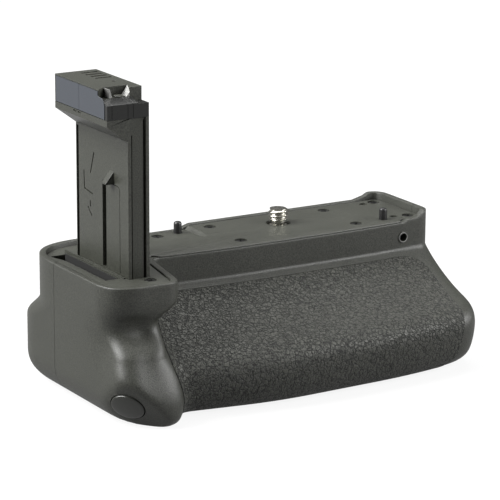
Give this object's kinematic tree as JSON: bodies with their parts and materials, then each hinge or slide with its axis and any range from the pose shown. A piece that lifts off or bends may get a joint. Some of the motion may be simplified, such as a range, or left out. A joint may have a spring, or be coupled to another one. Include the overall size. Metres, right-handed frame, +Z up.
{
  "type": "camera battery grip",
  "caption": "Battery grip for a mirrorless camera: hand-shaped body under a flat deck, upright battery-well tower, clamping screw with thumb wheel, cell tray with lock, release button.",
  "frame": {"origin": "axis of the clamping screw at the top face of the deck that the camera stands on", "axes": "+X along the grip to the tray's end, -Y to the hand bulge in front, +Z up into the camera"},
  "size_m": [0.1327, 0.0749, 0.0995],
  "materials": {
    "shell_plastic": "fine satin texture",
    "deck_plastic": "satin",
    "tower_plastic": "satin",
    "block_plastic": "polished",
    "inner_plastic": "fine matte",
    "grip_rubber": "pebble grain",
    "label": "semi-gloss film",
    "bright_steel": "nickel plated",
    "dark_steel": "blackened",
    "brass": "machined",
    "gold_contact": "gold plated",
    "board": "lacquered"
  },
  "bodies": {
    "housing": {"front_shell": "shell_plastic", "rear_shell": "shell_plastic", "grip_skin": "grip_rubber", "thumb_pad": "grip_rubber", "top_deck": "deck_plastic", "tower_core": "tower_plastic", "tower_cover": "tower_plastic", "tower_head": "tower_plastic", "contact_block": "block_plastic", "tower_contacts": "gold_contact", "head_label": "label", "door_latch": "inner_plastic", "deck_screws": "dark_steel", "locating_pins": "dark_steel", "wheel_bracket": "dark_steel", "jack_socket": "inner_plastic", "circuit_board": "board", "battery_chamber": "inner_plastic", "latch_keeper": "bright_steel", "chamber_contacts": "gold_contact", "shutter_switch": "inner_plastic", "tripod_bush": "brass", "bottom_screws": "dark_steel"},
    "clamp": {"attachment_screw": "bright_steel", "tightening_wheel": "inner_plastic", "screw_clip": "bright_steel"},
    "release": {"shutter_button": "tower_plastic", "switch_plunger": "inner_plastic"},
    "tray": {"battery_tray": "inner_plastic", "tray_contacts": "gold_contact", "tray_cover": "shell_plastic"},
    "lock": {"lock_knob": "shell_plastic", "lock_tongue": "bright_steel"}
  },
  "joints": [
    {"name": "tighten", "type": "hinge", "parent": "housing", "child": "clamp", "pos_m": [0, 0, 0], "axis": [0, 0, 1], "continuous": true},
    {"name": "press_release", "type": "slide", "parent": "housing", "child": "release", "axis": [0.6311, 0.5315, 0.565], "range_m": [0, 0.0008], "stiffness_N_per_m": 800},
    {"name": "slide_tray", "type": "slide", "parent": "housing", "child": "tray", "axis": [1, 0, 0], "range_m": [0, 0.112]},
    {"name": "turn_lock", "type": "hinge", "parent": "tray", "child": "lock", "pos_m": [0.0437, -0.0068, -0.03055], "axis": [1, 0, 0], "range_deg": [0, 90]}
  ]
}
